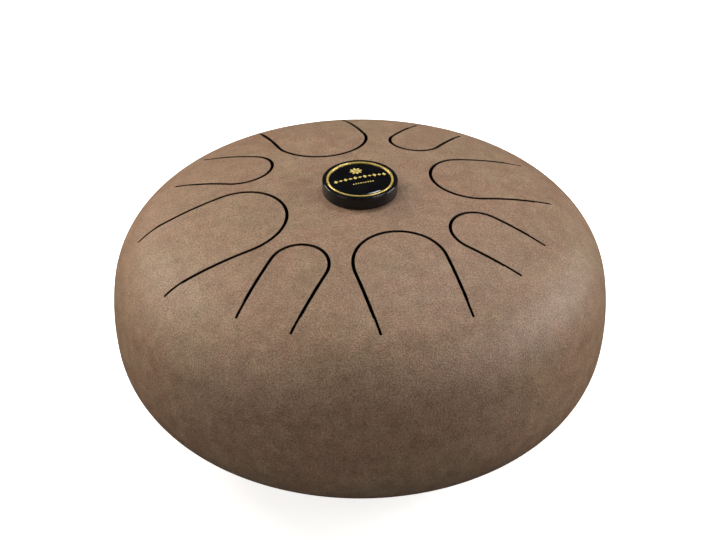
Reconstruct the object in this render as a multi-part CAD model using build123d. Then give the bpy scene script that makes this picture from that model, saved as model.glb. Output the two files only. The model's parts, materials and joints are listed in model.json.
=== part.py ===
from build123d import *
import os
from math import asin, cos, degrees, radians, sin, sqrt

# Steel tongue drum: two alike domed pressings joined at the equator, eight tongues cut in the
# upper one, a badge on its pole, and a rubber-edged sound port and four feet underneath.
# Frame: +Z up, origin on the floor under the drum's centre. Millimetres and degrees.

# Half profile from the equator to the pole, as arcs that meet tangent: side, shoulder, brow, cap.
# Each is given by its radius and the elevation of the surface normal where it ends. The cap ends
# at the pole, so its radius follows from the others.
EQUATOR_RADIUS = 200.0
SIDE_ARC = (182.0, 7.9)
SHOULDER_ARC = (68.0, 67.0)
BROW_ARC = (297.0, 83.9)
WALL = 2.0
FLOOR_GAP = 6.0           # clear height under the bottom pole

# Tongues, anticlockwise from the front one, one every 45 degrees.
FIRST_AZIMUTH = -71.3
SLOT_WIDTH = 2.7
TAIL_LENGTH = 15.0        # the last stretch of each slot leg is narrower on its outer side
TAIL_STEP = 0.6
ROOT_GAP = 0.2            # keeps a moving tongue's solid clear of the shell at its root
# Slot centreline half width, distance of the tip and of the root from the drum's axis.
TONGUES = [
    (37.0, 61.5, 157.5),
    (24.0, 81.0, 150.0),
    (32.0, 61.5, 151.5),
    (20.5, 81.5, 149.5),
    (37.0, 62.5, 160.0),
    (24.0, 82.0, 156.5),
    (41.0, 62.5, 172.5),
    (23.5, 82.5, 163.5),
]

# Weld bead inside the equator seam.
BEAD_HALF_HEIGHT = 4.0
BEAD_DEPTH = 1.6

# Sound port in the bottom pole and its rubber edge trim.
PORT_RADIUS = 42.0
TRIM_WALL = 1.6
TRIM_GRIP = 4.0           # how far the trim reaches over the sheet
TRIM_ROUND = 1.6
TRIM_LIP_ROUND = 0.7

# Feet, each square to the sheet, with a washer and screw in its well and a nut inside the drum.
FOOT_COUNT = 4
FOOT_FIRST_AZIMUTH = 45.0
FOOT_TILT = 8.0           # angle of a foot's axis from vertical
FOOT_TOP_RADIUS = 16.0
FOOT_SOLE_RADIUS = 14.0
FOOT_STOCK = 20.0         # moulded length before the sole is trimmed level
FOOT_SEAT = 3.0           # rubber between the sheet and the screw head's washer
FOOT_WELL_RADIUS = 6.0
SCREW_RADIUS = 2.5
SCREW_CLEARANCE = 0.25
SCREW_HEAD_RADIUS = 4.7
SCREW_HEAD_HEIGHT = 2.6
SCREW_TIP_LENGTH = 2.0    # thread standing past the nut
WASHER_RADIUS = 5.5
WASHER_THICKNESS = 1.0
NUT_ACROSS_FLATS = 8.0
NUT_HEIGHT = 4.0
NUT_LIFT = 0.03           # the sheet's hollow curve under a flat nut
NUT_TOP_RADIUS = 4.2      # radius of the nut's chamfered top face

# Badge on the top pole. Heights are above the pole.
PAD_RADIUS = 26.0
PAD_TOP = 0.6
BADGE_RADIUS = 30.0
BADGE_SKIRT_BOTTOM = -0.4
BADGE_SKIRT_RADIUS = 27.5
BADGE_HEIGHT = 10.3
BADGE_TOP_ROUND = 1.3
BADGE_BOTTOM_ROUND = 1.0
BADGE_RECESS_RADIUS = 26.7
BADGE_RECESS_FLOOR = 8.9
RING_OUTER_RADIUS = 26.6
RING_INNER_RADIUS = 24.8
RING_TOP = 10.5
FACE_RADIUS = 24.7
FACE_EDGE = 10.3
FACE_TOP = 11.7
EMBLEM_RELIEF = 0.15
EMBLEM_AZIMUTH = -71.3    # the emblem's foot points along the front tongue
ROSETTE_CENTRE = 10.3     # distance above the badge's middle, towards the emblem's head
ROSETTE_PETALS = 8
PETAL_LENGTH = 3.7
PETAL_WIDTH = 1.9
PETAL_START = 1.3
ROSETTE_HUB_RADIUS = 0.8
LOZENGE_COUNT = 11
LOZENGE_SPACING = 4.0
LOZENGE_LENGTH = 3.3
LOZENGE_TALL = 4.2
LOZENGE_SHORT = 2.4
DOT_COUNT = 9
DOT_SPACING = 2.0
DOT_RADIUS = 0.65
DOT_ROW = -8.3


def on_arc(centre, radius, angle):
    """A point of the profile, by the elevation of its normal."""
    return (centre[0] + radius * cos(radians(angle)), centre[1] + radius * sin(radians(angle)))


def chained_arcs():
    """The profile's arcs as (centre, radius, first angle, last angle), rim at height zero."""
    arcs = []
    centre = (EQUATOR_RADIUS - SIDE_ARC[0], 0.0)
    radius = SIDE_ARC[0]
    start = 0.0
    for next_radius, end in (SIDE_ARC, SHOULDER_ARC, BROW_ARC):
        centre = on_arc(centre, radius - next_radius, start)
        radius = next_radius
        arcs.append((centre, radius, start, end))
        start = end
    edge = on_arc(centre, radius, start)
    cap_radius = edge[0] / cos(radians(start))
    cap_centre = (0.0, edge[1] - cap_radius * sin(radians(start)))
    arcs.append((cap_centre, cap_radius, start, 90.0))
    return arcs


# Worked out from the driving dimensions.
PROFILE = chained_arcs()
CAP_RADIUS = PROFILE[-1][1]
CAP_CENTRE_Z = PROFILE[-1][0][1]
HALF_HEIGHT = CAP_CENTRE_Z + CAP_RADIUS
EQUATOR_Z = HALF_HEIGHT + FLOOR_GAP
POLE_Z = EQUATOR_Z + HALF_HEIGHT
DOME_SAG = FACE_TOP - FACE_EDGE
DOME_RADIUS = (FACE_RADIUS**2 + DOME_SAG**2) / (2 * DOME_SAG)
ABOVE_ALL = 200.0         # prisms and cutters reach this far, past the whole shell

os.makedirs("parts", exist_ok=True)


def save(name, shape):
    """Write one node."""
    export_step(shape, f"parts/{name}.step")


def profile_edges(inset):
    """The arcs of a half profile, set inward by inset, from the equator to the pole."""
    edges = []
    for centre, radius, start, end in PROFILE:
        angles = (start, (start + end) / 2, end)
        edges.append(ThreePointArc(*[on_arc(centre, radius - inset, angle) for angle in angles]))
    return edges


def turned(edges):
    """Turn a closed outline, drawn as radius and height, about the drum's axis."""
    outline = Wire(edges)
    return revolve(Plane.XZ * make_face(outline), Axis.Z)


def pressing():
    """One plain domed half, its rim on the XY plane."""
    pole = Line((0, HALF_HEIGHT), (0, HALF_HEIGHT - WALL))
    rim = Line((EQUATOR_RADIUS - WALL, 0), (EQUATOR_RADIUS, 0))
    return turned(profile_edges(0) + [pole] + profile_edges(WALL) + [rim])


def filled_half():
    """The whole space that one half takes up, sheet and hollow together."""
    axis = Line((0, HALF_HEIGHT), (0, 0))
    rim = Line((0, 0), (EQUATOR_RADIUS, 0))
    return turned(profile_edges(0) + [axis, rim])


def tongue_outline(half_width, tip, root):
    """A round-ended strip in plan, its tip at the given distance and its root square."""
    end = Pos(tip + half_width, 0) * Circle(half_width)
    length = root - tip - half_width
    strip = Pos(tip + half_width + length / 2, 0) * Rectangle(length, 2 * half_width)
    return end + strip


def window_prism(half_width, tip, root):
    """The room that a tongue and its slot take, with the narrower tails at the root."""
    wide = half_width + SLOT_WIDTH / 2
    narrow = wide - TAIL_STEP
    edge = SLOT_WIDTH / 2
    body = tongue_outline(wide, tip - edge, root - TAIL_LENGTH)
    tail = Pos(root - TAIL_LENGTH / 2, 0) * Rectangle(TAIL_LENGTH, 2 * narrow)
    return extrude(body + tail, ABOVE_ALL)


def tongue_prism(half_width, tip, root):
    """The room that a tongue itself takes, inside its slot and short of its root line."""
    edge = SLOT_WIDTH / 2
    return extrude(tongue_outline(half_width - edge, tip + edge, root - ROOT_GAP), ABOVE_ALL)


def make_shells_and_tongues():
    """The upper pressing with its tongue windows, the tongues, and the lower pressing."""
    half = pressing()
    upper = half
    for number, (half_width, tip, root) in enumerate(TONGUES):
        turn = Rot(0, 0, FIRST_AZIMUTH + number * 360 / len(TONGUES))
        upper = upper - turn * window_prism(half_width, tip, root)
        tongue = half & (turn * tongue_prism(half_width, tip, root))
        save(f"tongue_{number + 1}", Pos(0, 0, EQUATOR_Z) * tongue)
    save("top_shell", Pos(0, 0, EQUATOR_Z) * upper)

    lower = half - Cylinder(PORT_RADIUS, 4 * HALF_HEIGHT)
    lower = Pos(0, 0, EQUATOR_Z) * Rot(180, 0, 0) * lower
    for place in foot_places():
        lower = lower - place * Cylinder(SCREW_RADIUS + SCREW_CLEARANCE, 4 * WALL)
    save("bottom_shell", lower)


def make_seam_weld():
    """A low bead along the inside of the seam, filling up to the sheet's inner face."""
    seam_r = EQUATOR_RADIUS - WALL
    side_inner = SIDE_ARC[0] - WALL
    edge_r = EQUATOR_RADIUS - SIDE_ARC[0] + sqrt(side_inner**2 - BEAD_HALF_HEIGHT**2)
    low = (edge_r, -BEAD_HALF_HEIGHT)
    high = (edge_r, BEAD_HALF_HEIGHT)
    sheet_side = ThreePointArc(high, (seam_r, 0), low)
    free_side = ThreePointArc(low, (seam_r - BEAD_DEPTH, 0), high)
    save("seam_weld", Pos(0, 0, EQUATOR_Z) * turned([sheet_side, free_side]))


def make_port_trim():
    """Rubber channel pushed over the sound port's edge."""
    width = TRIM_GRIP + TRIM_WALL
    channel = Rectangle(width, WALL + 2 * TRIM_WALL)
    channel = fillet(channel.vertices().sort_by(Axis.X)[:2], TRIM_ROUND)
    channel = fillet(channel.vertices().sort_by(Axis.X)[-2:], TRIM_LIP_ROUND)
    cap_centre = EQUATOR_Z - CAP_CENTRE_Z
    drop = sqrt((CAP_RADIUS - WALL / 2) ** 2 - PORT_RADIUS**2)
    slope = degrees(asin(PORT_RADIUS / CAP_RADIUS))
    place = Pos(PORT_RADIUS + TRIM_GRIP - width / 2, cap_centre - drop) * Rot(0, 0, slope)
    sheet = Pos(0, cap_centre) * (Circle(CAP_RADIUS) - Circle(CAP_RADIUS - WALL))
    beyond_port = Pos(PORT_RADIUS + width, 0) * Rectangle(2 * width, ABOVE_ALL)
    section = place * channel - (sheet & beyond_port)
    save("port_trim", revolve(Plane.XZ * section, Axis.Z))


def foot_places():
    """Frames on the outer face of the bottom pressing, each +Z into the drum, square to it."""
    brow_centre, brow_radius = PROFILE[2][:2]
    out, height = on_arc(brow_centre, brow_radius, 90 - FOOT_TILT)
    places = []
    for number in range(FOOT_COUNT):
        azimuth = FOOT_FIRST_AZIMUTH + number * 360 / FOOT_COUNT
        places.append(Rot(0, 0, azimuth) * Pos(out, 0, EQUATOR_Z - height) * Rot(0, -FOOT_TILT, 0))
    return places


def foot_blank():
    """One tapered rubber foot hanging from the sheet, with its screw hole and well."""
    body = loft(
        [
            Pos(0, 0, WALL) * Circle(FOOT_TOP_RADIUS),
            Pos(0, 0, -FOOT_STOCK) * Circle(FOOT_SOLE_RADIUS),
        ]
    )
    hole = Cylinder(SCREW_RADIUS + SCREW_CLEARANCE, 4 * FOOT_STOCK)
    well = Pos(0, 0, -FOOT_SEAT) * Cylinder(
        FOOT_WELL_RADIUS, FOOT_STOCK, align=(Align.CENTER, Align.CENTER, Align.MAX)
    )
    return body - hole - well


def make_feet():
    """Four feet, each trimmed to the sheet above it and to the floor below it."""
    drum = Pos(0, 0, EQUATOR_Z) * Rot(180, 0, 0) * filled_half()
    floor = Box(
        4 * ABOVE_ALL, 4 * ABOVE_ALL, ABOVE_ALL, align=(Align.CENTER, Align.CENTER, Align.MAX)
    )
    blank = foot_blank()
    for number, place in enumerate(foot_places()):
        save(f"foot_{number + 1}", place * blank - drum - floor)


def grouped(shape):
    """The same fastener at every foot, as separate solids in one group."""
    return Compound(children=[place * shape for place in foot_places()])


def make_foot_fasteners():
    """Pan-head screws, their washers, and the nuts on the sheet's inner face."""
    up = (Align.CENTER, Align.CENTER, Align.MIN)
    down = (Align.CENTER, Align.CENTER, Align.MAX)
    bore = Cylinder(SCREW_RADIUS + SCREW_CLEARANCE, 4 * FOOT_STOCK)
    washer = Pos(0, 0, -FOOT_SEAT) * Cylinder(WASHER_RADIUS, WASHER_THICKNESS, align=down) - bore
    save("foot_washers", grouped(washer))

    head_top = -FOOT_SEAT - WASHER_THICKNESS
    head = Pos(0, 0, head_top) * Cylinder(SCREW_HEAD_RADIUS, SCREW_HEAD_HEIGHT, align=down)
    head = fillet(head.edges().sort_by(Axis.Z)[0], SCREW_HEAD_HEIGHT * 0.5)
    recess_width = SCREW_RADIUS * 0.5
    recess_length = SCREW_HEAD_RADIUS
    cross = Rectangle(recess_length, recess_width) + Rectangle(recess_width, recess_length)
    recess_depth = SCREW_HEAD_HEIGHT * 0.6
    recess = Pos(0, 0, head_top - SCREW_HEAD_HEIGHT) * extrude(cross, recess_depth)
    shank_length = -head_top + WALL + NUT_HEIGHT + SCREW_TIP_LENGTH
    shank = Pos(0, 0, head_top) * Cylinder(SCREW_RADIUS, shank_length, align=up)
    save("foot_screws", grouped(head + shank - recess))

    hexagon = RegularPolygon(NUT_ACROSS_FLATS / 2, 6, major_radius=False)
    chamfer_cone = Cone(NUT_TOP_RADIUS + NUT_HEIGHT * sqrt(3), NUT_TOP_RADIUS, NUT_HEIGHT, align=up)
    nut = (extrude(hexagon, NUT_HEIGHT) & chamfer_cone) - Cylinder(SCREW_RADIUS, 4 * NUT_HEIGHT)
    save("foot_nuts", grouped(Pos(0, 0, WALL + NUT_LIFT) * nut))


def make_badge_pad():
    """Adhesive pad: flat on top, following the cap below."""
    pad = Pos(0, 0, POLE_Z + PAD_TOP) * Cylinder(
        PAD_RADIUS, WALL, align=(Align.CENTER, Align.CENTER, Align.MAX)
    )
    cap = Pos(0, 0, EQUATOR_Z + CAP_CENTRE_Z) * Sphere(CAP_RADIUS)
    save("badge_pad", pad - cap)


def make_badge_base():
    """Black moulded puck: rounded rim, shallow recess on top, skirt round the pad."""
    top_round = BADGE_TOP_ROUND * (1 - sqrt(0.5))
    low_round = BADGE_BOTTOM_ROUND * (1 - sqrt(0.5))
    edges = [
        Line((0, PAD_TOP), (BADGE_SKIRT_RADIUS, PAD_TOP)),
        Line((BADGE_SKIRT_RADIUS, PAD_TOP), (BADGE_SKIRT_RADIUS, BADGE_SKIRT_BOTTOM)),
        Line(
            (BADGE_SKIRT_RADIUS, BADGE_SKIRT_BOTTOM),
            (BADGE_RADIUS - BADGE_BOTTOM_ROUND, BADGE_SKIRT_BOTTOM),
        ),
        ThreePointArc(
            (BADGE_RADIUS - BADGE_BOTTOM_ROUND, BADGE_SKIRT_BOTTOM),
            (BADGE_RADIUS - low_round, BADGE_SKIRT_BOTTOM + low_round),
            (BADGE_RADIUS, BADGE_SKIRT_BOTTOM + BADGE_BOTTOM_ROUND),
        ),
        Line(
            (BADGE_RADIUS, BADGE_SKIRT_BOTTOM + BADGE_BOTTOM_ROUND),
            (BADGE_RADIUS, BADGE_HEIGHT - BADGE_TOP_ROUND),
        ),
        ThreePointArc(
            (BADGE_RADIUS, BADGE_HEIGHT - BADGE_TOP_ROUND),
            (BADGE_RADIUS - top_round, BADGE_HEIGHT - top_round),
            (BADGE_RADIUS - BADGE_TOP_ROUND, BADGE_HEIGHT),
        ),
        Line((BADGE_RADIUS - BADGE_TOP_ROUND, BADGE_HEIGHT), (BADGE_RECESS_RADIUS, BADGE_HEIGHT)),
        Line((BADGE_RECESS_RADIUS, BADGE_HEIGHT), (BADGE_RECESS_RADIUS, BADGE_RECESS_FLOOR)),
        Line((BADGE_RECESS_RADIUS, BADGE_RECESS_FLOOR), (0, BADGE_RECESS_FLOOR)),
        Line((0, BADGE_RECESS_FLOOR), (0, PAD_TOP)),
    ]
    save("badge_base", Pos(0, 0, POLE_Z) * turned(edges))


def make_badge_ring():
    """Gilt trim ring in the puck's recess, standing just above its top."""
    height = RING_TOP - BADGE_RECESS_FLOOR
    outline = Circle(RING_OUTER_RADIUS) - Circle(RING_INNER_RADIUS)
    ring = extrude(outline, height)
    ring = chamfer(ring.edges().filter_by(GeomType.CIRCLE).group_by(Axis.Z)[-1], height * 0.2)
    save("badge_ring", Pos(0, 0, POLE_Z + BADGE_RECESS_FLOOR) * ring)


def dome_ball(relief):
    """The ball that the badge face's dome is part of, grown by relief."""
    return Pos(0, 0, POLE_Z + FACE_TOP - DOME_RADIUS) * Sphere(DOME_RADIUS + relief)


def make_badge_face():
    """Glossy domed disc inside the ring."""
    disc = Pos(0, 0, POLE_Z + BADGE_RECESS_FLOOR) * Cylinder(
        FACE_RADIUS, 2 * FACE_TOP, align=(Align.CENTER, Align.CENTER, Align.MIN)
    )
    save("badge_face", disc & dome_ball(0))


def emblem_marks():
    """Flat shapes of the emblem: a rosette over a row of lozenges and a row of dots."""
    marks = [Pos(0, ROSETTE_CENTRE) * Circle(ROSETTE_HUB_RADIUS)]
    for number in range(ROSETTE_PETALS):
        petal = Pos(PETAL_START + PETAL_LENGTH / 2, 0) * Ellipse(PETAL_LENGTH / 2, PETAL_WIDTH / 2)
        turn = Rot(0, 0, number * 360 / ROSETTE_PETALS)
        marks.append(Pos(0, ROSETTE_CENTRE) * turn * petal)
    for number in range(LOZENGE_COUNT):
        offset = number - (LOZENGE_COUNT - 1) / 2
        height = LOZENGE_TALL if number % 2 == 0 else LOZENGE_SHORT
        corners = [
            (-LOZENGE_LENGTH / 2, 0),
            (0, -height / 2),
            (LOZENGE_LENGTH / 2, 0),
            (0, height / 2),
        ]
        lozenge = make_face(Polyline(*corners, close=True))
        marks.append(Pos(offset * LOZENGE_SPACING, 0) * lozenge)
    for number in range(DOT_COUNT):
        offset = number - (DOT_COUNT - 1) / 2
        marks.append(Pos(offset * DOT_SPACING, DOT_ROW) * Circle(DOT_RADIUS))
    return marks


def make_badge_emblem():
    """Gilt marks standing a little proud of the dome, as separate solids."""
    skin = dome_ball(EMBLEM_RELIEF) - dome_ball(0)
    place = Pos(0, 0, POLE_Z + FACE_EDGE) * Rot(0, 0, EMBLEM_AZIMUTH + 90)
    pieces = [skin & (place * extrude(mark, WALL)) for mark in emblem_marks()]
    save("badge_emblem", Compound(children=[piece.solid() for piece in pieces]))


make_shells_and_tongues()
make_seam_weld()
make_port_trim()
make_feet()
make_foot_fasteners()
make_badge_pad()
make_badge_base()
make_badge_ring()
make_badge_face()
make_badge_emblem()
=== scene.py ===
import json
from math import atan2, ceil, cos, hypot, pi, radians, sin, sqrt, tan
import bpy
import numpy as np
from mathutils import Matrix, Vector
from mathutils.geometry import delaunay_2d_cdt
from mathutils.kdtree import KDTree


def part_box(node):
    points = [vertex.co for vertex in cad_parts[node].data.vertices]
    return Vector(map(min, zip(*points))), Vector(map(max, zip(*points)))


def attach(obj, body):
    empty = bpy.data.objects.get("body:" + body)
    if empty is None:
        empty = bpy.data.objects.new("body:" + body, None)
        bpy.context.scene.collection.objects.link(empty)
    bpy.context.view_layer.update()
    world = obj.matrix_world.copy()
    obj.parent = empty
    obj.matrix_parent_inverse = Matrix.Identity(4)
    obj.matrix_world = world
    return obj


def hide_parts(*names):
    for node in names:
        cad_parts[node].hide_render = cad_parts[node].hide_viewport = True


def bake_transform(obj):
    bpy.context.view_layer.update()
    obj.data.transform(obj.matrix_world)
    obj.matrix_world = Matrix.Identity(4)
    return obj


# Looks of a steel tongue drum: coated skins over its two pressings and eight tongues, a glossy
# badge with a gilt ring, rubber and plated hardware. Metres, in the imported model's frame, whose
# heights start at the floor.
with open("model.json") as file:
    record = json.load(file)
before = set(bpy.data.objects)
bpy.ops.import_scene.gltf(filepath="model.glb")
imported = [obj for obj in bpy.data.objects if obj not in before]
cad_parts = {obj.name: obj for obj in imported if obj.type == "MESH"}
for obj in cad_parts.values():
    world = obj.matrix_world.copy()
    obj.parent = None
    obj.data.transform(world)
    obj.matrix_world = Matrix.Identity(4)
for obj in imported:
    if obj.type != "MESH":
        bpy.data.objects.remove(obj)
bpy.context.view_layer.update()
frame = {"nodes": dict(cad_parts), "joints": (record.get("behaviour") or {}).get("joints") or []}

# ---------------------------------------------------------------- sizes

EQUATOR_RADIUS = 0.19995
EQUATOR_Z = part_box("top_shell")[0].z
# The half profile's arcs, as radius and the elevation in degrees of the normal where the arc ends.
# The last arc, the cap, is centred on the drum's axis.
SIDE_ARC = (0.182, 7.9)
SHOULDER_ARC = (0.068, 67.0)
BROW_ARC = (0.297, 83.9)
WALL = 0.002              # thickness of the pressed steel
PORT_GRIP = 0.004         # how far the port's rubber trim reaches past the hole's edge

SLOT_HALF = 0.00135       # half the width of a slot
SLOT_CORNER = 0.0005      # rounding of a slot's ends
TAIL_LENGTH = 0.015       # stretch next to the root where a slot is narrower
TAIL_STEP = 0.0006        # how much narrower it is there, on its outer side
EDGE_ROUND = 0.00025      # coated edge of a slot

BADGE_SKIRT_RADIUS = 0.0275   # inner radius of the puck's skirt, which hides the pad
BADGE_TOP_ROUND = 0.0013
BADGE_LOW_ROUND = 0.001
BADGE_RECESS_ROUND = 0.0003
RING_GAP = 0.0001         # play between the gilt ring and the wall of its recess
RING_WIDTH = 0.0018
RING_ROUND = 0.48 * RING_WIDTH
FACE_SAG = 0.0014         # fall of the poured face's main curve over its whole radius
FACE_EDGE_ARC = 0.008     # radius of the poured face's falling edge
FACE_EDGE_TILT = 30.0     # slope where that edge ends, in degrees

# Fineness of the meshes.
GRID = 0.0035             # spacing of the skin's points
GRID_CLEARANCE = 0.4 * GRID   # the least distance from a grid point to any other point
EDGE_GRID = 0.002         # spacing of points along a slot
RING_FROM = 0.1815        # beyond this radius the skin is made of plain rings
SECTORS = 480
BADGE_SECTORS = 144
SIDE_STEPS = 13           # points along each arc of the steep side
BOTTOM_STEPS = 19         # points along each arc of the lower pressing
FACE_EDGE_STEPS = 13
FACE_CROWN_STEPS = 17
CORNER_STEPS = 3          # facets round the end of a slot
EDGE_ANGLES = (0, 30, 60, 90)   # degrees over the coated edge, from the skin to the cut
ROUNDING_STEP = radians(9)      # largest turn between two points of a rounding
WELD = 1e-7               # points closer than this are one point
TINY = 1e-9               # anything shorter counts as nothing

# The camera stands in front of the drum and looks down at it.
CAMERA_PLACE = (0.0, -1.5676, 1.1701)
CAMERA_TILT = 56.643      # degrees up from looking straight down
CAMERA_LENS_MM = 115.8
CAMERA_SENSOR_MM = 36.0

FLOOR_REACH = 12.0        # half the side of the floor


# ---------------------------------------------------------------- the drum's profile


def chained_arcs():
    """The profile's arcs as (centre, radius, first angle, last angle), rim at height zero."""
    arcs = []
    centre = np.array((EQUATOR_RADIUS - SIDE_ARC[0], 0.0))
    radius = SIDE_ARC[0]
    start = 0.0
    for next_radius, end in (SIDE_ARC, SHOULDER_ARC, BROW_ARC):
        turn = np.array((cos(radians(start)), sin(radians(start))))
        centre = centre + (radius - next_radius) * turn
        radius = next_radius
        arcs.append((centre, radius, start, end))
        start = end
    edge = centre + radius * np.array((cos(radians(start)), sin(radians(start))))
    cap_radius = edge[0] / cos(radians(start))
    cap_centre = np.array((0.0, edge[1] - cap_radius * sin(radians(start))))
    arcs.append((cap_centre, cap_radius, start, 90.0))
    return arcs


PROFILE = chained_arcs()


def dome(radius, inset=0.0):
    """Height above the equator and normal (outward, up) of the upper half, at plan radii."""
    radius = np.asarray(radius, float)
    height = np.zeros_like(radius)
    outward = np.ones_like(radius)
    upward = np.zeros_like(radius)
    for centre, arc_radius, start, end in PROFILE:
        arc = arc_radius - inset
        inner = centre[0] + arc * cos(radians(end))
        outer = centre[0] + arc * cos(radians(start))
        here = (radius >= inner - TINY) & (radius <= outer + TINY)
        across = np.clip((radius - centre[0]) / arc, -1, 1)
        rise = np.sqrt(1 - across**2)
        height = np.where(here, centre[1] + arc * rise, height)
        outward = np.where(here, across, outward)
        upward = np.where(here, rise, upward)
    return height, outward, upward


def on_dome(plan, depth=0.0, inset=0.0):
    """Points and normals of the upper half over plan points, sunk straight down by depth."""
    plan = np.asarray(plan, float)
    radius = np.hypot(plan[:, 0], plan[:, 1])
    height, outward, upward = dome(radius, inset)
    spoke = plan / np.maximum(radius, TINY)[:, None]
    points = np.column_stack([plan, EQUATOR_Z + height - depth])
    normals = np.column_stack([outward[:, None] * spoke, upward])
    return points, normals


def profile_run(arcs, inset, least_radius, steps, half=1):
    """Points (r, z, normal r, normal z) along arcs of the profile, from the equator inwards.

    It stops at least_radius. Half is 1 for the upper half of the drum and -1 for the lower. With an
    inset it runs along the inner surface, with normals that still face out of the drum.
    """
    run = []
    for centre, arc_radius, start, end in arcs:
        arc = arc_radius - inset
        if centre[0] + arc * cos(radians(end)) < least_radius:
            end = np.degrees(np.arccos((least_radius - centre[0]) / arc))
        for elevation in np.radians(np.linspace(start, end, steps)):
            r = centre[0] + arc * cos(elevation)
            z = EQUATOR_Z + half * centre[1] + half * arc * sin(elevation)
            run.append((r, z, cos(elevation), half * sin(elevation)))
    return run


def facing_back(run):
    """The same points with their normals the other way."""
    return [(r, z, -out, -up) for r, z, out, up in run]


# ---------------------------------------------------------------- mesh helpers


class Skin:
    """Collects faces with a normal and a material number at each corner."""

    def __init__(self):
        self.points = []
        self.faces = []
        self.normals = []
        self.slots = []

    def add(self, points, faces, normals, slot=0):
        """Faces index into points. Normals are one per point, for these faces only."""
        base = len(self.points)
        self.points.extend(tuple(p) for p in points)
        for face in faces:
            self.faces.append([base + i for i in face])
            self.normals.append([tuple(normals[i]) for i in face])
            self.slots.append(slot)

    def strip(self, first, second, slot=0, closed=False):
        """Quads between two rows, each given as (points, normals)."""
        count = len(first[0])
        last = count if closed else count - 1
        turn = [(i + 1) % count for i in range(last)]
        quads = [(i, j, count + j, count + i) for i, j in enumerate(turn)]
        self.add(np.vstack([first[0], second[0]]), quads, np.vstack([first[1], second[1]]), slot)

    def lathe(self, runs, slot=0, sectors=SECTORS):
        """Turns runs of (r, z, normal r, normal z) round the vertical axis.

        Along a run the material is on the left, with r to the right and z up.
        """
        angles = 2 * pi * np.arange(sectors) / sectors
        spokes = np.column_stack([np.cos(angles), np.sin(angles)])
        for run in runs:
            rows = []
            for r, z, out, up in run:
                points = np.column_stack([r * spokes, np.full(sectors, z)])
                normals = np.column_stack([out * spokes, np.full(sectors, up)])
                rows.append((points, normals))
            for lower, upper in zip(rows, rows[1:]):
                self.strip(lower, upper, slot, closed=True)

    def build(self, name, materials):
        """One object with welded points and the collected normals."""
        number = {}
        points = []
        same = []
        for point in self.points:
            key = tuple(round(c / WELD) for c in point)
            if key not in number:
                number[key] = len(points)
                points.append(point)
            same.append(number[key])
        faces = []
        normals = []
        slots = []
        for face, corner_normals, slot in zip(self.faces, self.normals, self.slots):
            welded = [same[i] for i in face]
            kept = [k for k in range(len(welded)) if welded[k] != welded[k - 1]]
            if len(kept) > 2:
                faces.append([welded[k] for k in kept])
                normals.extend(corner_normals[k] for k in kept)
                slots.append(slot)
        mesh = bpy.data.meshes.new(name)
        mesh.from_pydata(points, [], faces)
        for material in materials:
            mesh.materials.append(material)
        mesh.polygons.foreach_set("material_index", slots)
        mesh.polygons.foreach_set("use_smooth", [True] * len(faces))
        mesh.normals_split_custom_set(normals)
        mesh.update()
        piece = bpy.data.objects.new(name, mesh)
        bpy.context.scene.collection.objects.link(piece)
        return piece


def corner_round(before, here, after, rounding):
    """Where the rounding of a corner starts and ends, and its centre."""
    back = (before - here) / np.linalg.norm(before - here)
    on = (after - here) / np.linalg.norm(after - here)
    half = np.arccos(np.clip(back @ on, -1, 1)) / 2
    reach = rounding / tan(half)
    middle = (back + on) / np.linalg.norm(back + on)
    return here + back * reach, here + on * reach, here + middle * rounding / sin(half)


def arc_run(start, end, centre, rounding):
    """A run from start to end round centre, with normals away from the material."""
    first = atan2(*(start - centre)[::-1])
    last = atan2(*(end - centre)[::-1])
    sweep = (last - first + pi) % (2 * pi) - pi
    side = 1 if sweep > 0 else -1
    steps = max(2, ceil(abs(sweep) / ROUNDING_STEP))
    run = []
    for angle in first + sweep * np.linspace(0, 1, steps + 1):
        turn = np.array((cos(angle), sin(angle)))
        run.append((*(centre + rounding * turn), *(side * turn)))
    return run


def rounded(corners, closed=False):
    """Runs for Skin.lathe along an outline of corners (r, z, rounding)."""
    count = len(corners)
    places = [np.array((r, z)) for r, z, _ in corners]
    ends = []
    for k, (_, _, rounding) in enumerate(corners):
        open_end = not closed and k in (0, count - 1)
        if open_end or rounding == 0:
            ends.append((places[k], places[k], None))
        else:
            ends.append(corner_round(places[k - 1], places[k], places[(k + 1) % count], rounding))
    runs = []
    for k, (start, end, centre) in enumerate(ends):
        if centre is not None:
            runs.append(arc_run(start, end, centre, corners[k][2]))
        if closed or k < count - 1:
            there = ends[(k + 1) % count][0]
            along = there - end
            length = np.linalg.norm(along)
            if length > TINY:
                out = np.array((along[1], -along[0])) / length
                runs.append([(*end, *out), (*there, *out)])
    return runs


def turned_piece(name, runs, material):
    skin = Skin()
    skin.lathe(runs, sectors=BADGE_SECTORS)
    return skin.build(name, [material])


def on_turn(along, across, radius, first, last, steps):
    """Points (along, across) on an arc, both ends included."""
    return [
        (along + radius * cos(angle), across + radius * sin(angle))
        for angle in np.linspace(first, last, steps + 1)
    ]


def between(first, last, spacing):
    """Numbers from first to last at about that spacing, without the two ends."""
    return np.linspace(first, last, max(2, round(abs(last - first) / spacing)) + 1)[1:-1]


# ---------------------------------------------------------------- tongues, from the frame


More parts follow.
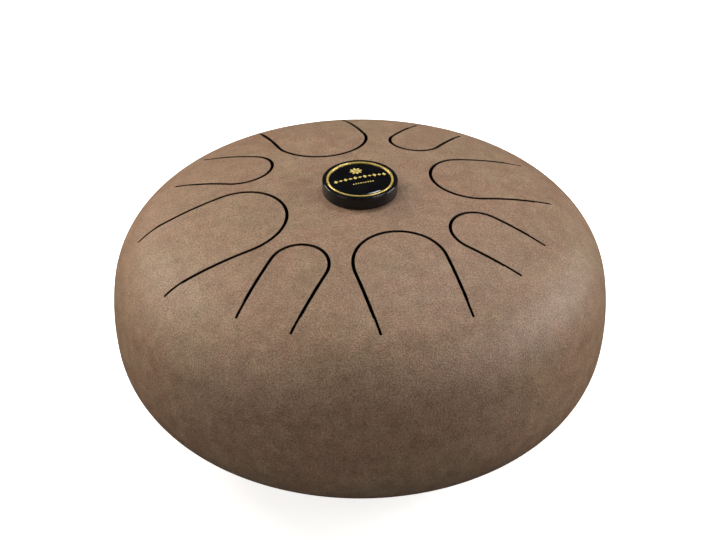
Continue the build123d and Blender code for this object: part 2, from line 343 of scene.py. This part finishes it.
class Tongue:
    """Measures of one tongue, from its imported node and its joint."""

    def __init__(self, joint):
        self.name = joint["child"]
        x, y, self.root_z = joint["pos_m"]
        self.root = hypot(x, y)
        self.out = np.array((x, y)) / self.root
        self.side = np.array((-self.out[1], self.out[0]))
        plan = np.array([v.co[:2] for v in frame["nodes"][self.name].data.vertices])
        self.half = np.abs(plan @ self.side).max() + SLOT_HALF
        self.tip = (plan @ self.out).min() - SLOT_HALF
        self.trace_slot()

    def place(self, points):
        """Plan points from (along, across) in the tongue's own directions."""
        points = np.asarray(points, float)
        return points[:, :1] * self.out + points[:, 1:] * self.side

    def trace_slot(self):
        """The slot's closed edge, anticlockwise, and its normals towards the slot.

        The first inner_count points are the tongue's side of it: from one leg's end, round the
        tip, to the other leg's end.
        """
        inner = self.half - SLOT_HALF
        wide = self.half + SLOT_HALF
        narrow = wide - TAIL_STEP
        centre = self.tip + self.half
        leg_end = self.root - SLOT_CORNER
        tail = self.root - TAIL_LENGTH
        turns = ceil(pi / 2 * self.half / EDGE_GRID)

        half_in = on_turn(centre, 0, inner, pi, pi / 2, turns)
        half_in += [(u, inner) for u in between(centre, leg_end, EDGE_GRID)]
        half_in += on_turn(leg_end, inner + SLOT_CORNER, SLOT_CORNER, -pi / 2, 0, CORNER_STEPS)
        half_out = on_turn(leg_end, narrow - SLOT_CORNER, SLOT_CORNER, 0, pi / 2, CORNER_STEPS)
        half_out += [(u, narrow) for u in between(leg_end, tail + TAIL_STEP, EDGE_GRID)]
        half_out += [(tail + TAIL_STEP, narrow), (tail, wide)]
        half_out += [(u, wide) for u in between(tail, centre, EDGE_GRID)]
        half_out += on_turn(centre, 0, wide, pi / 2, pi, turns)

        inside = [(u, -v) for u, v in half_in[:0:-1]] + half_in
        outside = half_out + [(u, -v) for u, v in half_out[-2::-1]]
        self.loop = np.array(inside + outside)
        self.inner_count = len(inside)
        before = self.loop - np.roll(self.loop, 1, 0)
        after = np.roll(self.loop, -1, 0) - self.loop
        before /= np.linalg.norm(before, axis=1, keepdims=True)
        after /= np.linalg.norm(after, axis=1, keepdims=True)
        tangent = before + after
        tangent /= np.linalg.norm(tangent, axis=1, keepdims=True)
        self.inward = np.column_stack([-tangent[:, 1], tangent[:, 0]])
        self.mitre = 1 / np.sum(tangent * before, axis=1, keepdims=True)

    def edge(self, grown):
        """Plan points of the slot's edge, moved back into the metal by grown."""
        return self.place(self.loop - grown * self.mitre * self.inward)

    def edge_rows(self):
        """Rows of (points, normals) from the skin over the rounded edge and down the cut."""
        inward = np.column_stack([self.place(self.inward), np.zeros(len(self.loop))])
        rows = []
        for angle in np.radians(EDGE_ANGLES):
            plan = self.edge(EDGE_ROUND * (1 - sin(angle)))
            points, skin_normals = on_dome(plan, EDGE_ROUND * (1 - cos(angle)))
            rows.append((points, cos(angle) * skin_normals + sin(angle) * inward))
        rows.append((on_dome(self.edge(EDGE_ROUND), inset=WALL)[0], inward))
        return rows

    def border(self):
        """Plan points along the root line between the slot's two ends, ends left out."""
        reach = self.loop[0][1]
        across = between(reach, -reach, GRID)
        return self.place([(self.root + EDGE_ROUND, v) for v in across])


TONGUES = [Tongue(joint) for joint in frame["joints"]]


# ---------------------------------------------------------------- materials


class Nodes:
    """A short way to write a material's nodes and links."""

    def __init__(self, name):
        self.material = bpy.data.materials.new(name)
        self.material.use_nodes = True
        self.tree = self.material.node_tree
        self.shader = self.tree.nodes["Principled BSDF"]
        self.place = self.tree.nodes.new("ShaderNodeTexCoord").outputs["Object"]

    def set(self, **values):
        """Constant values on the shader's own sockets, with _ for a space in a name."""
        for name, value in values.items():
            self.shader.inputs[name.replace("_", " ")].default_value = value
        return self

    def node(self, kind, **values):
        made = self.tree.nodes.new("ShaderNode" + kind)
        for name, value in values.items():
            setattr(made, name, value)
        return made

    def link(self, output, socket):
        self.tree.links.new(output, socket)

    def noise(self, scale, detail=2.0, roughness=0.5, shift=0.0):
        """Noise from 0 to 1, mostly near 0.5. Scale is in features per metre."""
        moved = self.node("Mapping")
        moved.inputs["Location"].default_value = (shift, -shift, shift / 2)
        self.link(self.place, moved.inputs["Vector"])
        made = self.node("TexNoise")
        made.inputs["Scale"].default_value = scale
        made.inputs["Detail"].default_value = detail
        made.inputs["Roughness"].default_value = roughness
        self.link(moved.outputs[0], made.inputs["Vector"])
        return made.outputs["Fac"]

    def ramp(self, value, stops):
        """A colour ramp over value, from stops of (place, colour)."""
        made = self.node("ValToRGB")
        elements = made.color_ramp.elements
        while len(elements) < len(stops):
            elements.new(0.5)
        for element, (place, colour) in zip(elements, stops):
            element.position = place
            element.color = colour if len(colour) == 4 else (*colour, 1.0)
        self.link(value, made.inputs["Fac"])
        return made.outputs["Color"]

    def grey_ramp(self, value, stops):
        return self.ramp(value, [(place, (level,) * 3) for place, level in stops])

    def mix(self, share, first, second, blend="MIX"):
        """Two colours mixed. Share, first and second are outputs or constants."""
        made = self.node("Mix", data_type="RGBA", blend_type=blend)
        for socket, value in ((0, share), (6, first), (7, second)):
            if isinstance(value, (int, float)):
                made.inputs[socket].default_value = value
            elif isinstance(value, tuple):
                made.inputs[socket].default_value = (*value, 1.0)
            else:
                self.link(value, made.inputs[socket])
        return made.outputs[2]

    def range(self, value, low, high):
        """Value from 0 to 1 mapped to low to high."""
        made = self.node("MapRange")
        made.inputs["To Min"].default_value = low
        made.inputs["To Max"].default_value = high
        self.link(value, made.inputs["Value"])
        return made.outputs["Result"]

    def colour(self, output):
        self.link(output, self.shader.inputs["Base Color"])

    def roughness(self, output):
        self.link(output, self.shader.inputs["Roughness"])

    def bump(self, height, distance, strength):
        """Adds a bump, its distance in metres, on top of any earlier one."""
        made = self.node("Bump")
        made.inputs["Strength"].default_value = strength
        made.inputs["Distance"].default_value = distance
        self.link(height, made.inputs["Height"])
        normal = self.shader.inputs["Normal"]
        if normal.links:
            self.link(normal.links[0].from_socket, made.inputs["Normal"])
        self.link(made.outputs["Normal"], normal)


def coated_steel():
    """Sandy textured powder coat, bronze brown with soft clouds of red, olive and tan, and painted
    shade and highlights in its sandy texture.
    """
    nodes = Nodes("powder_coated_steel")
    clouds = nodes.noise(60, detail=3, roughness=0.6)
    base = nodes.ramp(
        clouds,
        [
            (0.36, (0.262, 0.156, 0.100)),
            (0.50, (0.275, 0.174, 0.110)),
            (0.64, (0.282, 0.188, 0.118)),
        ],
    )
    rust = nodes.grey_ramp(nodes.noise(9, detail=2, shift=3.1), [(0.42, 0.0), (0.68, 0.4)])
    base = nodes.mix(rust, base, (0.262, 0.148, 0.092))
    olive = nodes.grey_ramp(nodes.noise(13, detail=2, shift=7.7), [(0.45, 0.0), (0.70, 0.35)])
    base = nodes.mix(olive, base, (0.240, 0.176, 0.102))
    patches = nodes.grey_ramp(nodes.noise(95, detail=2, shift=4.4), [(0.3, 0.87), (0.7, 1.13)])
    base = nodes.mix(1.0, base, patches, "MULTIPLY")
    # Dark hollows and light tips of the sandy texture: painted shade in the hollows and painted
    # highlights on the tips. The tips brighten, so they are past white.
    sand = nodes.noise(950, detail=2, roughness=0.6)
    grain_shade_and_glints = nodes.ramp(sand, [(0.32, (0.62, 0.56, 0.49)), (0.68, (1.40, 1.47, 1.60))])
    base = nodes.mix(1.0, base, grain_shade_and_glints, "MULTIPLY")
    nodes.colour(base)
    nodes.roughness(nodes.range(nodes.noise(420, detail=2, shift=5.0), 0.42, 0.60))
    nodes.bump(nodes.noise(170, detail=2, shift=2.0), distance=0.0002, strength=0.08)
    nodes.bump(sand, distance=0.00035, strength=1.0)
    return nodes.material


def inner_steel_and_slot_shade():
    """Bare pressed steel inside the drum: dull, oiled and brown-grey. It is also put on the slots'
    cut walls, which are really coated like the skin, as painted shade.
    """
    nodes = Nodes("bare_steel")
    stain = nodes.noise(60, detail=4, roughness=0.6)
    nodes.colour(nodes.ramp(stain, [(0.3, (0.022, 0.019, 0.017)), (0.7, (0.050, 0.045, 0.040))]))
    nodes.roughness(nodes.range(stain, 0.38, 0.62))
    nodes.bump(nodes.noise(900, detail=2), distance=0.00004, strength=0.4)
    return nodes.set(Metallic=0.85).material


def rubber():
    nodes = Nodes("black_rubber")
    dust = nodes.noise(120, detail=4, roughness=0.6)
    nodes.colour(nodes.ramp(dust, [(0.35, (0.010, 0.010, 0.011)), (0.75, (0.028, 0.027, 0.026))]))
    nodes.roughness(nodes.range(nodes.noise(300, detail=2, shift=1.0), 0.55, 0.75))
    nodes.bump(nodes.noise(1500, detail=1), distance=0.00005, strength=0.35)
    return nodes.material


def zinc():
    nodes = Nodes("zinc_steel")
    patches = nodes.noise(900, detail=3, roughness=0.6)
    nodes.colour(nodes.ramp(patches, [(0.3, (0.42, 0.43, 0.45)), (0.7, (0.62, 0.63, 0.65))]))
    nodes.roughness(nodes.range(patches, 0.22, 0.42))
    nodes.bump(patches, distance=0.00003, strength=0.4)
    return nodes.set(Metallic=1.0).material


def foam():
    nodes = Nodes("adhesive_foam")
    cells = nodes.noise(2200, detail=1)
    nodes.colour(nodes.ramp(cells, [(0.3, (0.010, 0.010, 0.010)), (0.7, (0.035, 0.034, 0.033))]))
    nodes.roughness(nodes.range(cells, 0.75, 0.95))
    nodes.bump(cells, distance=0.0001, strength=0.6)
    return nodes.material


def gloss_plastic():
    """Moulded black plastic, polished, with faint handling haze."""
    nodes = Nodes("black_gloss_plastic")
    haze = nodes.noise(140, detail=4, roughness=0.6)
    nodes.colour(nodes.ramp(haze, [(0.3, (0.006, 0.006, 0.007)), (0.8, (0.012, 0.012, 0.013))]))
    nodes.roughness(nodes.range(haze, 0.06, 0.16))
    nodes.bump(nodes.noise(70, detail=1), distance=0.00002, strength=0.3)
    return nodes.set(Specular_IOR_Level=0.3).material


def gloss_resin():
    """The poured, domed black face."""
    nodes = Nodes("black_gloss_resin")
    haze = nodes.noise(90, detail=3, roughness=0.5, shift=2.0)
    nodes.colour(nodes.ramp(haze, [(0.3, (0.004, 0.004, 0.005)), (0.8, (0.008, 0.008, 0.009))]))
    nodes.roughness(nodes.range(haze, 0.03, 0.07))
    return nodes.set(Specular_IOR_Level=0.45).material


def gilt():
    nodes = Nodes("gilt_metal")
    tarnish = nodes.noise(420, detail=4, roughness=0.6)
    nodes.colour(nodes.ramp(tarnish, [(0.3, (0.66, 0.47, 0.11)), (0.7, (0.82, 0.63, 0.20))]))
    nodes.roughness(nodes.range(tarnish, 0.16, 0.32))
    nodes.bump(nodes.noise(1600, detail=2), distance=0.00002, strength=0.4)
    return nodes.set(Metallic=0.4).material


def gilt_print():
    """Raised gold ink: paler and duller than the metal ring."""
    nodes = Nodes("gilt_print")
    flake = nodes.noise(900, detail=3, roughness=0.6)
    nodes.colour(nodes.ramp(flake, [(0.3, (0.60, 0.46, 0.11)), (0.7, (0.78, 0.64, 0.22))]))
    nodes.roughness(nodes.range(flake, 0.35, 0.55))
    return nodes.set(Metallic=0.15).material


COATING = coated_steel()
INNER_STEEL_AND_SLOT_SHADE = inner_steel_and_slot_shade()
RUBBER = rubber()
ZINC = zinc()
FOAM = foam()
PLASTIC = gloss_plastic()
RESIN = gloss_resin()
GILT = gilt()
GILT_PRINT = gilt_print()


# ---------------------------------------------------------------- top skin and tongues


def grid_points(keep_off):
    """Plan points in rings over the middle of the drum, clear of the points in keep_off."""
    tree = KDTree(len(keep_off))
    for number, (x, y) in enumerate(keep_off):
        tree.insert((x, y, 0), number)
    tree.balance()
    points = [(0.0, 0.0)]
    rings = int(RING_FROM / GRID)
    # The points of a ring are as far apart as the rings are, and every other ring is turned by
    # half of that.
    for ring in range(1, rings):
        radius = ring * RING_FROM / rings
        count = round(2 * pi * ring)
        for k in range(count):
            angle = 2 * pi * (k + 0.5 * (ring % 2)) / count
            point = (radius * cos(angle), radius * sin(angle))
            if tree.find((*point, 0))[2] > GRID_CLEARANCE:
                points.append(point)
    return points


def top_plan():
    """Plan points, and the triangles of the shell (key None) and of each tongue (its number)."""
    angles = 2 * pi * np.arange(SECTORS) / SECTORS
    ring = list(RING_FROM * np.column_stack([np.cos(angles), np.sin(angles)]))
    points = [tuple(p) for p in ring]
    edges = [(i, (i + 1) % SECTORS) for i in range(SECTORS)]
    slots = []
    tongues = []
    for tongue in TONGUES:
        start = len(points)
        loop = tongue.edge(EDGE_ROUND)
        border = tongue.border()
        points += [tuple(p) for p in loop] + [tuple(p) for p in border]
        slots.append(list(range(start, start + len(loop))))
        root_line = range(start + len(loop), start + len(loop) + len(border))
        tongues.append(slots[-1][: tongue.inner_count][::-1] + list(root_line))
    points += grid_points(points)
    outlines = slots + tongues
    found = delaunay_2d_cdt([Vector(p) for p in points], edges, outlines, 0, WELD)
    moved, _, triangles, sources, _, insides = found
    plan = np.array([points[same[0]] if same else p for p, same in zip(moved, sources)])
    groups = {None: []}
    groups.update({number: [] for number in range(len(TONGUES))})
    for face, inside in zip(triangles, insides):
        if any(outline < len(slots) for outline in inside):
            continue
        groups[inside[0] - len(slots) if inside else None].append(list(face))
    return plan, groups


def add_sheet(skin, plan, faces):
    """The outer and inner surfaces over plan triangles."""
    used = sorted({i for face in faces for i in face})
    number = {old: new for new, old in enumerate(used)}
    faces = [[number[i] for i in face] for face in faces]
    outer, outer_normals = on_dome(plan[used])
    skin.add(outer, faces, outer_normals)
    inner, inner_normals = on_dome(plan[used], inset=WALL)
    skin.add(inner, [face[::-1] for face in faces], -inner_normals, 1)


def add_root_wall(skin, tongue, side):
    """Closes the metal along a tongue's root line: side 1 for the tongue, -1 for the shell."""
    edge = tongue.edge(EDGE_ROUND)
    ends = edge[[0, tongue.inner_count - 1]]
    line = np.vstack([ends[:1], tongue.border(), ends[1:]])
    normals = np.tile((*(side * tongue.out), 0.0), (len(line), 1))
    upper = (on_dome(line)[0], normals)
    lower = (on_dome(line, inset=WALL)[0], normals)
    rows = (lower, upper) if side > 0 else (upper, lower)
    skin.strip(*rows, 1)
    for end, turn in ((0, -side), (tongue.inner_count - 1, side)):
        section = np.array([points[end] for points, _ in tongue.edge_rows()])
        facing = np.tile((*(turn * tongue.side), 0.0), (len(section), 1))
        skin.add(section, [range(len(section))[::-turn]], facing, 1)


def add_slot_edge(skin, shell, tongue):
    """The slot's rounded edge and cut, the inner side on the tongue and the rest on the shell."""
    last = tongue.inner_count
    on_tongue = []
    on_shell_side = []
    for row in tongue.edge_rows():
        on_tongue.append([values[:last] for values in row])
        on_shell_side.append([np.vstack([values[last - 1 :], values[:1]]) for values in row])
    cut = len(on_tongue) - 2
    for k in range(cut + 1):
        # The cut wall takes the dark inner steel: painted shade, since the real wall is coated like
        # the skin.
        slot = 1 if k == cut else 0
        skin.strip(on_tongue[k], on_tongue[k + 1], slot)
        shell.strip(on_shell_side[k], on_shell_side[k + 1], slot)


def add_steep_side(shell):
    """The upper pressing's steep side, from the equator up to RING_FROM, and its lower edge."""
    steep_arcs = PROFILE[:2]
    shell.lathe([profile_run(steep_arcs, 0.0, RING_FROM, SIDE_STEPS)])
    inner = profile_run(steep_arcs, WALL, RING_FROM, SIDE_STEPS)
    shell.lathe([facing_back(inner)[::-1]], 1)
    edge = [(EQUATOR_RADIUS - WALL, EQUATOR_Z, 0, -1), (EQUATOR_RADIUS, EQUATOR_Z, 0, -1)]
    shell.lathe([edge], 1)


def make_top():
    """The top shell's skin and the eight tongues', cut from one continuous surface."""
    plan, groups = top_plan()
    shell = Skin()
    add_sheet(shell, plan, groups[None])
    for number, tongue in enumerate(TONGUES):
        skin = Skin()
        add_sheet(skin, plan, groups[number])
        add_slot_edge(skin, shell, tongue)
        add_root_wall(skin, tongue, 1)
        add_root_wall(shell, tongue, -1)
        piece = skin.build(f"{tongue.name}_skin", [COATING, INNER_STEEL_AND_SLOT_SHADE])
        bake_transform(piece)
        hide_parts(tongue.name)
    add_steep_side(shell)
    piece = shell.build("top_shell_skin", [COATING, INNER_STEEL_AND_SLOT_SHADE])
    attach(piece, "shell")
    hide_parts("top_shell")


# ---------------------------------------------------------------- bottom skin


def make_bottom():
    """The bottom shell's skin: the same profile upside down, open at the sound port."""
    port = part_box("port_trim")[1].x - PORT_GRIP
    outer = profile_run(PROFILE, 0.0, port, BOTTOM_STEPS, half=-1)
    inner = profile_run(PROFILE, WALL, port, BOTTOM_STEPS, half=-1)
    skin = Skin()
    skin.lathe([outer[::-1]])
    skin.lathe([facing_back(inner)], 1)
    top = [(EQUATOR_RADIUS, EQUATOR_Z, 0, 1), (EQUATOR_RADIUS - WALL, EQUATOR_Z, 0, 1)]
    port_edge = [(*inner[-1][:2], -1, 0), (*outer[-1][:2], -1, 0)]
    skin.lathe([top, port_edge], 1)
    piece = skin.build("bottom_shell_skin", [COATING, INNER_STEEL_AND_SLOT_SHADE])
    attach(piece, "shell")
    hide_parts("bottom_shell")


make_top()
make_bottom()

# ---------------------------------------------------------------- badge


def on_shell(piece, node):
    """The piece rides on the shell and stands for that CAD node."""
    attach(piece, "shell")
    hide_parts(node)


def make_badge_base():
    """The puck: its skirt reaches down round the pad, and a recess holds the ring and the face."""
    low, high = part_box("badge_base")
    pad_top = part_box("badge_pad")[1].z
    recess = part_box("badge_ring")[1].x + RING_GAP
    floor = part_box("badge_ring")[0].z
    section = [
        (0, pad_top, 0),
        (BADGE_SKIRT_RADIUS, pad_top, 0),
        (BADGE_SKIRT_RADIUS, low.z, 0),
        (high.x, low.z, BADGE_LOW_ROUND),
        (high.x, high.z, BADGE_TOP_ROUND),
        (recess, high.z, BADGE_RECESS_ROUND),
        (recess, floor, 0),
        (0, floor, 0),
    ]
    puck = turned_piece("badge_puck", rounded(section), PLASTIC)
    on_shell(puck, "badge_base")


def make_badge_ring():
    low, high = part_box("badge_ring")
    inner = high.x - RING_WIDTH
    section = [
        (inner, low.z, 0),
        (high.x, low.z, 0),
        (high.x, high.z, RING_ROUND),
        (inner, high.z, RING_ROUND),
    ]
    ring = turned_piece("badge_gilt_ring", rounded(section, closed=True), GILT)
    on_shell(ring, "badge_ring")


def make_badge_face():
    """A shallow dome whose edge falls away more steeply, as poured resin does."""
    low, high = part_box("badge_face")
    radius = high.x
    ball = (radius**2 + FACE_SAG**2) / (2 * FACE_SAG)
    ball_z = high.z - ball
    steep = radians(90 - FACE_EDGE_TILT)
    edge_r = radius - FACE_EDGE_ARC * cos(steep)
    edge_z = ball_z + sqrt((ball - FACE_EDGE_ARC) ** 2 - edge_r**2)
    meet = atan2(edge_z - ball_z, edge_r)
    edge = []
    for angle in np.linspace(steep, meet, FACE_EDGE_STEPS):
        out, up = cos(angle), sin(angle)
        edge.append((edge_r + FACE_EDGE_ARC * out, edge_z + FACE_EDGE_ARC * up, out, up))
    crown = [
        (ball * cos(angle), ball_z + ball * sin(angle), cos(angle), sin(angle))
        for angle in np.linspace(meet, pi / 2, FACE_CROWN_STEPS)
    ]
    walls = rounded([(0, low.z, 0), (radius, low.z, 0), (radius, edge[0][1], 0)])
    face = turned_piece("badge_domed_face", walls + [edge, crown], RESIN)
    on_shell(face, "badge_face")


make_badge_base()
make_badge_ring()
make_badge_face()

# CAD bodies that are shown as they are.
for node, material in {
    "seam_weld": INNER_STEEL_AND_SLOT_SHADE,
    "port_trim": RUBBER,
    **{f"foot_{number}": RUBBER for number in range(1, 5)},
    "foot_screws": ZINC,
    "foot_washers": ZINC,
    "foot_nuts": ZINC,
    "badge_pad": FOAM,
    "badge_emblem": GILT_PRINT,
}.items():
    mesh = frame["nodes"][node].data
    mesh.materials.clear()
    mesh.materials.append(material)


# ---------------------------------------------------------------- floor, light and camera


def pale_floor():
    """Matt, nearly white and glowing a little, and clear from below."""
    nodes = Nodes("floor")
    nodes.colour(nodes.grey_ramp(nodes.noise(3, detail=2), [(0.3, 0.86), (0.7, 0.9)]))
    nodes.set(Roughness=0.6, Specular_IOR_Level=0.1)
    nodes.set(Emission_Color=(1, 1, 1, 1), Emission_Strength=0.75)
    clear = nodes.node("BsdfTransparent")
    side = nodes.node("MixShader")
    nodes.link(nodes.node("NewGeometry").outputs["Backfacing"], side.inputs[0])
    nodes.link(nodes.shader.outputs[0], side.inputs[1])
    nodes.link(clear.outputs[0], side.inputs[2])
    nodes.link(side.outputs[0], nodes.tree.nodes["Material Output"].inputs["Surface"])
    return nodes.material


def make_floor():
    """A pale table, which the drum stands on and which adds no light or reflection to it."""
    mesh = bpy.data.meshes.new("floor")
    far = FLOOR_REACH
    corners = [(-far, -far, 0), (far, -far, 0), (far, far, 0), (-far, far, 0)]
    mesh.from_pydata(corners, [], [(0, 1, 2, 3)])
    mesh.materials.append(pale_floor())
    floor = bpy.data.objects.new("floor", mesh)
    bpy.context.scene.collection.objects.link(floor)
    floor.visible_diffuse = False
    floor.visible_glossy = False
    floor.visible_shadow = False


def softbox(name, azimuth, elevation, distance, size, power, tint, seen=True):
    """An oblong lamp facing the drum from that direction, azimuth from +X towards +Y.

    A lamp that is not seen lights the drum without showing in glossy surfaces.
    """
    turn = radians(azimuth)
    rise = radians(elevation)
    middle = Vector((0, 0, EQUATOR_Z))
    towards = Vector((cos(turn) * cos(rise), sin(turn) * cos(rise), sin(rise)))
    light = bpy.data.lights.new(name, "AREA")
    light.shape = "RECTANGLE"
    light.size, light.size_y = size
    light.energy = power
    light.color = tint
    lamp = bpy.data.objects.new(name, light)
    lamp.location = middle + distance * towards
    lamp.rotation_euler = towards.to_track_quat("Z", "Y").to_euler()
    lamp.visible_glossy = seen
    bpy.context.scene.collection.objects.link(lamp)


def make_world(level, bounce, tint):
    """Even light of one level, and more of it from low in front, as a lit table gives.

    It doesn't show in glossy surfaces.
    """
    world = bpy.data.worlds.new("studio")
    world.use_nodes = True
    nodes = world.node_tree.nodes
    link = world.node_tree.links.new
    split = nodes.new("ShaderNodeSeparateXYZ")
    link(nodes.new("ShaderNodeTexCoord").outputs["Generated"], split.inputs[0])
    low_front = nodes.new("ShaderNodeMath")
    low_front.operation = "MULTIPLY"
    # Along each axis the extra light is absent at the first direction and full at the second.
    for socket, (axis, none, full) in enumerate((("Y", 0.35, -0.05), ("Z", 0.05, -0.25))):
        share = nodes.new("ShaderNodeMapRange")
        share.interpolation_type = "SMOOTHSTEP"
        share.inputs["From Min"].default_value = none
        share.inputs["From Max"].default_value = full
        link(split.outputs[axis], share.inputs["Value"])
        link(share.outputs["Result"], low_front.inputs[socket])
    strength = nodes.new("ShaderNodeMath")
    strength.operation = "MULTIPLY_ADD"
    strength.inputs[1].default_value = bounce
    strength.inputs[2].default_value = level
    link(low_front.outputs[0], strength.inputs[0])
    link(strength.outputs[0], nodes["Background"].inputs["Strength"])
    nodes["Background"].inputs["Color"].default_value = (*tint, 1)
    bpy.context.scene.world = world
    # This works only once the scene has the world.
    world.cycles_visibility.glossy = False


def make_studio():
    """Soft light from both sides and above, and less of it from in front."""
    make_world(level=0.08, bounce=0.20, tint=(0.96, 0.98, 1.0))
    warm = (1.0, 0.91, 0.77)
    neutral = (1.0, 0.96, 0.91)
    cool = (0.93, 0.97, 1.0)
    # Name, azimuth and elevation in degrees, distance, size, power in watts, tint.
    softbox("right", 12, 20, 1.7, (0.9, 0.45), 18.0, neutral)
    softbox("left", 152, 30, 1.8, (0.9, 0.45), 17.0, warm)
    softbox("overhead", 56, 62, 1.8, (0.4, 0.4), 6.5, cool)
    softbox("upper_left", 160, 66, 1.9, (0.9, 0.9), 17.0, cool, seen=False)
    softbox("front_right", -35, 25, 1.8, (1.0, 1.0), 8.0, neutral)
    softbox("front_left", -145, 20, 1.8, (1.0, 1.0), 6.5, warm)
    softbox("left_low", 178, 10, 1.8, (1.0, 1.0), 4.0, neutral)
    softbox("back", 90, 25, 1.9, (1.4, 1.0), 2.0, neutral, seen=False)
    bpy.context.scene.view_settings.view_transform = "Standard"


def make_camera():
    camera = bpy.data.objects.new("camera", bpy.data.cameras.new("camera"))
    camera.data.sensor_width = CAMERA_SENSOR_MM
    camera.data.lens = CAMERA_LENS_MM
    camera.location = CAMERA_PLACE
    camera.rotation_euler = (radians(CAMERA_TILT), 0.0, 0.0)
    bpy.context.scene.collection.objects.link(camera)
    bpy.context.scene.camera = camera


make_floor()
make_studio()
make_camera()
